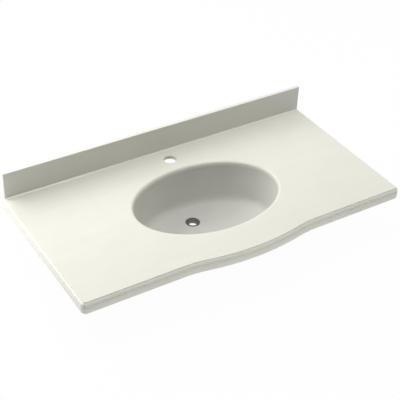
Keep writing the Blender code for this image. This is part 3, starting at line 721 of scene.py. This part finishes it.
def screw_mesh(node, angle):
    """A pan-head screw with a thread and a cross recess.

    The head falls as H (1 - (r / R)^4)^(1/2) below its seat. The recess lifts it again by a
    depth times how far a point is inside either arm of the cross.
    """
    low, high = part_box(node)
    ring = around(SCREW_POINTS)
    seat = FLANGE_UNDER - CLIP_THICK - 2 * GAP
    profile = [(SCREW_TIP_MIDDLE, high.z), (SCREW_RADIUS - SCREW_TIP_TAPER, high.z)]
    start, stop = high.z - SCREW_TIP_LEAD, seat + SCREW_THREAD_STOP
    for height in np.arange(start, stop, -SCREW_PITCH / SCREW_TURN_STEPS):
        crest = thread(ring, height, SCREW_RADIUS, SCREW_THREAD_DEPTH, SCREW_PITCH)
        profile.append((crest, height))
    profile += [(SCREW_RADIUS, seat + SCREW_NECK), (SCREW_RADIUS, seat), (SCREW_HEAD_RADIUS, seat)]
    for share in np.sqrt(np.linspace(HEAD_EDGE_SHARE, 0.0, HEAD_STEPS + 1)):
        r = SCREW_HEAD_RADIUS * max(share, HEAD_MIDDLE_SHARE)
        dome = (seat - low.z) * math.sqrt(1 - share ** 4)
        arm = np.minimum(np.abs(r * np.cos(ring)), np.abs(r * np.sin(ring)))
        inside = np.clip((RECESS_HALF_WIDTH - arm) / RECESS_SIDE, 0.0, 1.0)
        inside *= np.clip((RECESS_REACH - r) / RECESS_END, 0.0, 1.0)
        profile.append((r, seat - dome + RECESS_DEPTH * inside))
    return skin(placed(turned(profile, 0.0, SCREW_POINTS), screw_axis(angle)), closed=False)


def insert_mesh(node, angle):
    """A brass insert: a sleeve with straight knurls, its radius swelling by a cosine."""
    low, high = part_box(node)
    inner, outer = SCREW_RADIUS + GAP, SCREW_RADIUS + GAP + INSERT_WALL
    pilot = outer - INSERT_PILOT_IN
    knurl = outer - KNURL_HALF_DEPTH * (1 - np.cos(KNURLS * around(ROUND_POINTS)))
    profile = [(inner, high.z), (inner, low.z + INSERT_MOUTH), (inner + INSERT_MOUTH, low.z)]
    profile += [(pilot, low.z), (pilot, low.z + INSERT_PILOT)]
    profile += [(knurl, low.z + INSERT_KNURL_START), (knurl, high.z)]
    return skin(placed(turned(profile, 0.0, ROUND_POINTS), screw_axis(angle)), closed=True)


# Finishes

IVORY = (0.796, 0.787, 0.707)
IVORY_PALE = (0.832, 0.825, 0.750)
IVORY_DEEP = (0.760, 0.746, 0.660)
IVORY_ROUGHNESS = 0.42
BOWL_ROUGHNESS = 0.59
PLAIN_TONE = (1.0, 1.0, 1.0)
# The bowl's ivory is darker and cooler than the sheet's: painted shade for the shade inside the bowl
BOWL_PAINTED_SHADE = (0.81, 0.81, 0.84)
# The backsplash's ivory is a little darker and cooler: painted shade for its face, which is turned from
# the light
SPLASH_PAINTED_SHADE = (0.97, 0.97, 0.995)
ADHESIVE = (0.79, 0.775, 0.70)
ADHESIVE_PALE = (0.82, 0.80, 0.73)
# The sealant is whiter than the ivory: partly its own colour, partly a painted highlight along the
# backsplash's foot
SEALANT_AND_PAINTED_HIGHLIGHT = (0.97, 0.955, 0.89)
SEALANT_DULL = (0.91, 0.90, 0.83)
BRONZE = (0.150, 0.146, 0.125)
BRONZE_WORN = (0.22, 0.205, 0.17)
BRASS = (0.66, 0.47, 0.20)
BRASS_WORN = (0.72, 0.54, 0.27)
ZINC = (0.60, 0.61, 0.62)
ZINC_FLOWER = (0.50, 0.52, 0.54)
RUBBER = (0.022, 0.022, 0.023)
RUBBER_BLOOM = (0.06, 0.06, 0.06)
PLY = (0.60, 0.42, 0.25)
PLY_PALE = (0.72, 0.55, 0.36)
PLY_FACE = (0.66, 0.48, 0.30)
PLY_GRAIN = (0.50, 0.33, 0.18)
PLY_SIDE = (0.66, 0.49, 0.31)
PLY_LAYER = (0.36, 0.22, 0.12)
PLY_FIBRE = (0.42, 0.28, 0.16)


class Finish:
    """A node material that reads Object coordinates and ends in a Principled shader."""

    def __init__(self, name, colour, roughness, metallic=0.0):
        self.material = bpy.data.materials.new(name)
        self.material.use_nodes = True
        self.tree = self.material.node_tree
        self.shader = self.tree.nodes["Principled BSDF"]
        self.colour = colour
        self.put("Base Color", (*colour, 1.0))
        self.put("Roughness", roughness)
        self.put("Metallic", metallic)
        self.place = self.add("ShaderNodeTexCoord").outputs["Object"]

    def feed(self, socket, value):
        """Gives a socket a value, or links another node's output to it."""
        if isinstance(value, bpy.types.NodeSocket):
            self.tree.links.new(value, socket)
        else:
            socket.default_value = value

    def put(self, name, value):
        """Feeds one of the shader's sockets."""
        self.feed(self.shader.inputs[name], value)

    def add(self, kind, inputs=None, **settings):
        """Adds a node with settings, and feeds its inputs."""
        node = self.tree.nodes.new(kind)
        for name, value in settings.items():
            setattr(node, name, value)
        for key, value in (inputs or {}).items():
            self.feed(node.inputs[key], value)
        return node

    def stretched(self, scale, shift=(0.0, 0.0, 0.0)):
        """Object coordinates scaled along each axis."""
        inputs = {"Vector": self.place, "Scale": scale, "Location": shift}
        return self.add("ShaderNodeMapping", inputs).outputs[0]

    def noise(self, where, scale, detail=3.0, roughness=0.5):
        """A noise's height from 0 to 1."""
        inputs = {"Vector": where, "Scale": scale, "Detail": detail, "Roughness": roughness}
        return self.add("ShaderNodeTexNoise", inputs).outputs[0]

    def wave(self, where, scale, distortion, **kind):
        """A wave's height from 0 to 1."""
        inputs = {"Vector": where, "Scale": scale, "Distortion": distortion, "Detail": 2.0}
        return self.add("ShaderNodeTexWave", inputs, **kind).outputs[1]

    def spread(self, value, low, high, start=0.0, end=1.0):
        """Maps a value from the range low to high to the range start to end."""
        inputs = {0: value, 1: low, 2: high, 3: start, 4: end}
        return self.add("ShaderNodeMapRange", inputs).outputs[0]

    def shade(self, colour, factor, other):
        """Mixes a colour with another by a factor. Sockets 6 and 7 take the two colours."""
        pair = [v if isinstance(v, bpy.types.NodeSocket) else (*v, 1.0) for v in (colour, other)]
        return self.add("ShaderNodeMix", {0: factor, 6: pair[0], 7: pair[1]}, data_type="RGBA").outputs[2]

    def bump(self, height, distance, strength, under=None):
        """Raises the surface by a height, on top of the bump under it where one is given."""
        inputs = {"Height": height, "Distance": distance, "Strength": strength}
        if under is not None:
            inputs["Normal"] = under
        return self.add("ShaderNodeBump", inputs).outputs[0]


def solid_surface(name, tone=PLAIN_TONE, roughness=IVORY_ROUGHNESS):
    """Ivory mineral-filled acrylic: low streaks along the width, soft clouds and a fine fleck."""
    # A tone scales all the ivory's colours; the bowl's and the backsplash's tones darken and cool them as
    # painted shade
    base, pale, deep = (tuple(np.multiply(tone, c)) for c in (IVORY, IVORY_PALE, IVORY_DEEP))
    made = Finish(name, base, roughness)
    streak = made.noise(made.stretched((3.5, 34.0, 34.0)), scale=1.0, detail=4.0, roughness=0.55)
    cloud = made.noise(made.place, scale=9.0)
    fleck = made.noise(made.place, scale=1400.0, detail=2.0)
    colour = made.shade(base, made.spread(streak, 0.42, 0.66, end=0.42), pale)
    colour = made.shade(colour, made.spread(cloud, 0.45, 0.75, end=0.45), deep)
    colour = made.shade(colour, made.spread(fleck, 0.58, 0.74, end=0.30), pale)
    made.put("Base Color", colour)
    made.put("Roughness", made.spread(cloud, 0.3, 0.7, roughness - 0.04, roughness + 0.05))
    made.put("Normal", made.bump(fleck, distance=0.03 * MM, strength=0.6))
    return made.material


def adhesive_finish():
    """Colour-matched seam adhesive, a shade warmer and smoother than the sheet."""
    made = Finish("seam adhesive", ADHESIVE, 0.36)
    ripple = made.noise(made.place, scale=90.0, detail=2.0)
    colour = made.shade(made.colour, made.spread(ripple, 0.4, 0.7, end=0.5), ADHESIVE_PALE)
    made.put("Base Color", colour)
    made.put("Normal", made.bump(ripple, distance=0.2 * MM, strength=0.4))
    return made.material


def sealant_finish():
    """Milky sealant with a wet gloss and the ripple of a finger along it. Its pale colour is partly the
    sealant's own white and partly a painted highlight along the backsplash's foot.
    """
    made = Finish("sealant", SEALANT_AND_PAINTED_HIGHLIGHT, 0.22)
    ripple = made.noise(made.stretched((40.0, 200.0, 200.0)), scale=1.0, detail=2.0)
    colour = made.shade(made.colour, made.spread(ripple, 0.4, 0.7, end=0.6), SEALANT_DULL)
    made.put("Base Color", colour)
    made.put("Normal", made.bump(ripple, distance=0.4 * MM, strength=0.5))
    made.put("Coat Weight", 0.3)
    return made.material


def turned_metal(name, colour, worn, roughness):
    """Metal with fine turning marks round the drain's axis, rubbed paler in patches."""
    made = Finish(name, colour, roughness, metallic=1.0)
    where = made.stretched((1.0, 1.0, 1.0), (0.0, -DRAIN_Y, 0.0))
    marks = made.wave(where, 620.0, 1.2, wave_type="RINGS", rings_direction="Z")
    patch = made.noise(made.place, scale=130.0, detail=4.0)
    made.put("Base Color", made.shade(colour, made.spread(patch, 0.42, 0.72, end=0.75), worn))
    made.put("Roughness", made.spread(patch, 0.3, 0.7, roughness - 0.06, roughness + 0.14))
    made.put("Normal", made.bump(marks, distance=0.04 * MM, strength=0.4))
    return made.material


def zinc_finish():
    """Zinc-plated steel, with the faint flowers of its plating and dull handling marks."""
    made = Finish("zinc plated steel", ZINC, 0.34, metallic=1.0)
    flower = made.add("ShaderNodeTexVoronoi", {"Vector": made.place, "Scale": 420.0}).outputs[0]
    stain = made.noise(made.place, scale=80.0, detail=4.0)
    colour = made.shade(made.colour, made.spread(flower, 0.1, 0.7, end=0.5), ZINC_FLOWER)
    made.put("Base Color", colour)
    made.put("Roughness", made.spread(stain, 0.3, 0.7, 0.28, 0.48))
    made.put("Normal", made.bump(stain, distance=0.2 * MM, strength=0.3))
    return made.material


def rubber_finish():
    """Black gasket rubber with a moulded grain and a dusty bloom."""
    made = Finish("black rubber", RUBBER, 0.72)
    grain = made.noise(made.place, scale=900.0)
    bloom = made.noise(made.place, scale=60.0, detail=4.0)
    colour = made.shade(made.colour, made.spread(bloom, 0.45, 0.75, end=0.5), RUBBER_BLOOM)
    made.put("Base Color", colour)
    made.put("Roughness", made.spread(bloom, 0.3, 0.7, 0.62, 0.82))
    made.put("Normal", made.bump(grain, distance=0.1 * MM, strength=0.7))
    return made.material


def plywood_finish():
    """Birch plywood: plies stacked in height on its sides, and long grain on its faces.

    The face shows where the normal's upright share is over a half. The grain is a noise
    stretched along the width, and the plies a wave along the height.
    """
    made = Finish("birch plywood", PLY, 0.62)
    normal = made.add("ShaderNodeNewGeometry").outputs["Normal"]
    upright = made.add("ShaderNodeSeparateXYZ", {0: normal}).outputs[2]
    share = made.add("ShaderNodeMath", {0: upright}, operation="ABSOLUTE").outputs[0]
    face = made.add("ShaderNodeMath", {0: share, 1: 0.5}, operation="GREATER_THAN").outputs[0]
    wander = made.noise(made.stretched((6.0, 6.0, 60.0)), scale=1.0)
    plies = made.wave(made.place, 210.0, 0.6, wave_type="BANDS", bands_direction="Z")
    grain = made.noise(made.stretched((14.0, 260.0, 260.0)), scale=1.0, detail=5.0, roughness=0.6)
    fibre = made.noise(made.place, scale=500.0)
    long = made.shade(PLY_FACE, made.spread(grain, 0.4, 0.7), PLY_GRAIN)
    side = made.shade(PLY_SIDE, made.spread(plies, 0.45, 0.75), PLY_LAYER)
    side = made.shade(side, made.spread(fibre, 0.4, 0.8, end=0.4), PLY_FIBRE)
    board = made.shade(side, face, long)
    made.put("Base Color", made.shade(board, made.spread(wander, 0.5, 0.8, end=0.3), PLY_PALE))
    made.put("Roughness", made.spread(grain, 0.3, 0.7, 0.55, 0.72))
    grain_bump = made.bump(grain, distance=0.2 * MM, strength=0.3)
    made.put("Normal", made.bump(plies, distance=0.2 * MM, strength=0.25, under=grain_bump))
    return made.material


# Pieces

def show_top():
    """The sheet, its bowl, strips and backsplash, and the beads that join them."""
    ivory = solid_surface("ivory solid surface")
    # The bowl's ivory is a darker, cooler copy of the sheet's: painted shade
    bowl_ivory_painted_shade = solid_surface("ivory of the bowl with painted shade", BOWL_PAINTED_SHADE, BOWL_ROUGHNESS)
    # The backsplash's ivory is a darker, cooler copy of the sheet's: painted shade
    splash_ivory_painted_shade = solid_surface("ivory of the backsplash with painted shade", SPLASH_PAINTED_SHADE)
    show("sheet_with_nose", sheet_mesh(), ivory, "deck_panel")
    show("oval_bowl", bowl_mesh(), bowl_ivory_painted_shade, "bowl_shell")
    show("front_strip", front_strip_mesh(), ivory, "front_edge_strip")
    show("left_strip", side_strip_mesh(-1.0), ivory, "left_edge_strip")
    show("right_strip", side_strip_mesh(1.0), ivory, "right_edge_strip")
    board = bar_mesh(*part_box("backsplash"), SPLASH_ARRIS, 0)
    show("splash_board", board, splash_ivory_painted_shade, "backsplash")
    show("seam_bead", seam_mesh(), adhesive_finish(), "bowl_seam_ring")
    show("splash_bead", bead_mesh(), sealant_finish(), "backsplash_seal")


def show_waste(brass):
    """The drain ring with its two gaskets, washer and locknut."""
    bronze = turned_metal("oil rubbed bronze", BRONZE, BRONZE_WORN, 0.45)
    rubber = rubber_finish()
    tube = WASTE_BORE_RADIUS + WASTE_TUBE_WALL + GAP
    upper = ring_mesh("waste_gasket_upper", tube + WASTE_PLAY, UPPER_GASKET_ROUND)
    lower = ring_mesh("waste_gasket_lower", tube, LOWER_GASKET_ROUND)
    washer = ring_mesh("waste_washer", tube, WASHER_ROUND)
    show("waste_ring", waste_mesh(), bronze, "waste_flange")
    show("upper_gasket", upper, rubber, "waste_gasket_upper")
    show("lower_gasket", lower, rubber, "waste_gasket_lower")
    show("brass_washer", washer, brass, "waste_washer")
    show("brass_locknut", locknut_mesh(), brass, "waste_locknut")


def show_rails():
    """The plywood rails and braces, each with the axis along which it runs."""
    plywood = plywood_finish()
    rails = (("front_rail", 0), ("left_rear_rail", 0), ("right_rear_rail", 0), ("left_rail", 1),
             ("right_rail", 1), ("left_brace", 1), ("right_brace", 1))
    for name, along in rails:
        bar = bar_mesh(*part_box(name), RAIL_ARRIS, along)
        show("ply_" + name, bar, plywood, name)


def show_clips(brass):
    """Six clips, each with its screw and its insert."""
    zinc = zinc_finish()
    for number, angle in enumerate(CLIP_ANGLES, 1):
        clip, screw, insert = f"bowl_clip_{number}", f"clip_screw_{number}", f"clip_insert_{number}"
        show(f"bent_clip_{number}", clip_mesh(angle), zinc, clip)
        show(f"pan_screw_{number}", screw_mesh(screw, angle), zinc, screw)
        show(f"brass_insert_{number}", insert_mesh(insert, angle), brass, insert)


# Stage, light and camera

FLOOR_DROP = 0.5 * MM
FLOOR_HALF = 14.0
FLOOR_PAINT = (0.90, 0.90, 0.90, 1.0)
WHITE = (1.0, 1.0, 1.0, 1.0)
SEEN_SHARE = 0.975
WORLD_LIGHT = 0.06
LAMP_AIM = (0.0, 0.22, 0.02)
# Each lamp: name, place, width, height, power, and whether a gloss shows it and it lights the floor
LAMPS = (
    ("overhead lamp", (-0.15, 0.15, 2.60), 2.0, 2.0, 35.0, True, True),
    ("rear left lamp", (-1.49, 1.71, 1.55), 2.0, 2.0, 47.5, True, True),
    ("back lamp", (0.0, 2.52, 1.24), 1.5, 1.5, 15.0, False, True),
    ("right lamp", (2.30, 0.22, 1.24), 1.5, 1.5, 16.0, False, True),
    ("front strip lamp", (0.0, -0.62, -0.10), 1.8, 0.03, 1.9, False, False),
    ("left strip lamp", (-1.20, 0.44, -0.06), 0.15, 0.10, 1.4, True, False),
)
CAMERA_PLACE = (-1.36394, -1.84156, 1.84499)
CAMERA_AZIMUTH = -0.575743
CAMERA_ELEVATION = 0.635650
CAMERA_ROLL = 0.041125
CAMERA_LENS = 90.82
CAMERA_SENSOR = 36.0


def seen_rays(nodes, links):
    """Is the ray one that shows the background: from the camera, a gloss or a clear body?"""
    path = nodes.new("ShaderNodeLightPath")
    total = path.outputs["Is Camera Ray"]
    for name in ("Is Glossy Ray", "Is Transmission Ray"):
        both = nodes.new("ShaderNodeMath")
        both.operation = "MAXIMUM"
        links.new(total, both.inputs[0])
        links.new(path.outputs[name], both.inputs[1])
        total = both.outputs[0]
    return total


def floor_paint():
    """Paint that is nearly white to look at and matt to the light, and isn't taken for a lamp."""
    paint = bpy.data.materials.new("pale floor")
    paint.use_nodes = True
    nodes, links = paint.node_tree.nodes, paint.node_tree.links
    nodes.clear()
    matt = nodes.new("ShaderNodeBsdfDiffuse")
    matt.inputs["Color"].default_value = FLOOR_PAINT
    glow = nodes.new("ShaderNodeEmission")
    share = nodes.new("ShaderNodeMath")
    share.operation = "MULTIPLY"
    share.inputs[1].default_value = SEEN_SHARE
    mix = nodes.new("ShaderNodeMixShader")
    links.new(seen_rays(nodes, links), share.inputs[0])
    for number, source in enumerate((share, matt, glow)):
        links.new(source.outputs[0], mix.inputs[number])
    links.new(mix.outputs[0], nodes.new("ShaderNodeOutputMaterial").inputs["Surface"])
    paint.cycles.emission_sampling = "NONE"
    return paint


def add_floor():
    """A square of floor just below the drain fitting."""
    height = cad_box[0].z - FLOOR_DROP
    signs = ((-1, -1), (1, -1), (1, 1), (-1, 1))
    mesh = bpy.data.meshes.new("floor")
    mesh.from_pydata([(a * FLOOR_HALF, b * FLOOR_HALF, height) for a, b in signs], [], [(0, 1, 2, 3)])
    mesh.materials.append(floor_paint())
    floor = bpy.data.objects.new("floor", mesh)
    bpy.context.scene.collection.objects.link(floor)
    return floor


def add_world():
    """A world that is white to look at and dim as light."""
    world = bpy.data.worlds.new("studio")
    bpy.context.scene.world = world
    world.use_nodes = True
    nodes, links = world.node_tree.nodes, world.node_tree.links
    level = nodes.new("ShaderNodeMapRange")
    level.inputs["To Min"].default_value = WORLD_LIGHT
    level.inputs["To Max"].default_value = 1.0
    links.new(seen_rays(nodes, links), level.inputs["Value"])
    ground = nodes["Background"]
    ground.inputs["Color"].default_value = WHITE
    links.new(level.outputs[0], ground.inputs["Strength"])


def all_but(floor):
    """A collection that keeps the floor out of a lamp's light, which falls on all else."""
    lit = bpy.data.collections.new("all but the floor")
    lit.objects.link(floor)
    lit.collection_objects[0].light_linking.link_state = "EXCLUDE"
    return lit


def add_lamp(floor, name, place, width, height, power, shows, reaches_floor):
    """Adds a soft oval lamp that points at the bowl.

    A lamp close to the floor would leave a bright spot on it, whose light makes the edges
    grainy, so such a lamp doesn't light it.
    """
    data = bpy.data.lights.new(name, "AREA")
    data.shape = "ELLIPSE"
    data.size = width
    data.size_y = height
    data.energy = power
    lamp = bpy.data.objects.new(name, data)
    lamp.location = place
    lamp.rotation_euler = (Vector(LAMP_AIM) - Vector(place)).to_track_quat("-Z", "Y").to_euler()
    lamp.visible_camera = False
    lamp.visible_glossy = shows
    if not reaches_floor:
        lamp.light_linking.receiver_collection = all_but(floor)
    bpy.context.scene.collection.objects.link(lamp)


def aim_camera():
    """The camera that was fitted to the photograph: its own axes, turned by its roll."""
    cos_e, sin_e = math.cos(CAMERA_ELEVATION), math.sin(CAMERA_ELEVATION)
    cos_a, sin_a = math.cos(CAMERA_AZIMUTH), math.sin(CAMERA_AZIMUTH)
    back = Vector((sin_a * cos_e, -cos_a * cos_e, sin_e))
    right = Vector((cos_a, sin_a, 0.0))
    up = back.cross(right)
    cos_r, sin_r = math.cos(CAMERA_ROLL), math.sin(CAMERA_ROLL)
    axes = (cos_r * right + sin_r * up, -sin_r * right + cos_r * up, back)
    data = bpy.data.cameras.new("camera")
    data.lens = CAMERA_LENS
    data.sensor_width = CAMERA_SENSOR
    camera = bpy.data.objects.new("camera", data)
    camera.matrix_world = Matrix.Translation(CAMERA_PLACE) @ Matrix(axes).transposed().to_4x4()
    bpy.context.scene.collection.objects.link(camera)
    bpy.context.scene.camera = camera


bpy.context.scene.view_settings.view_transform = "Standard"
aim_camera()
floor = add_floor()
add_world()
for lamp in LAMPS:
    add_lamp(floor, *lamp)
show_top()
brass = turned_metal("brass", BRASS, BRASS_WORN, 0.32)
show_waste(brass)
show_rails()
show_clips(brass)
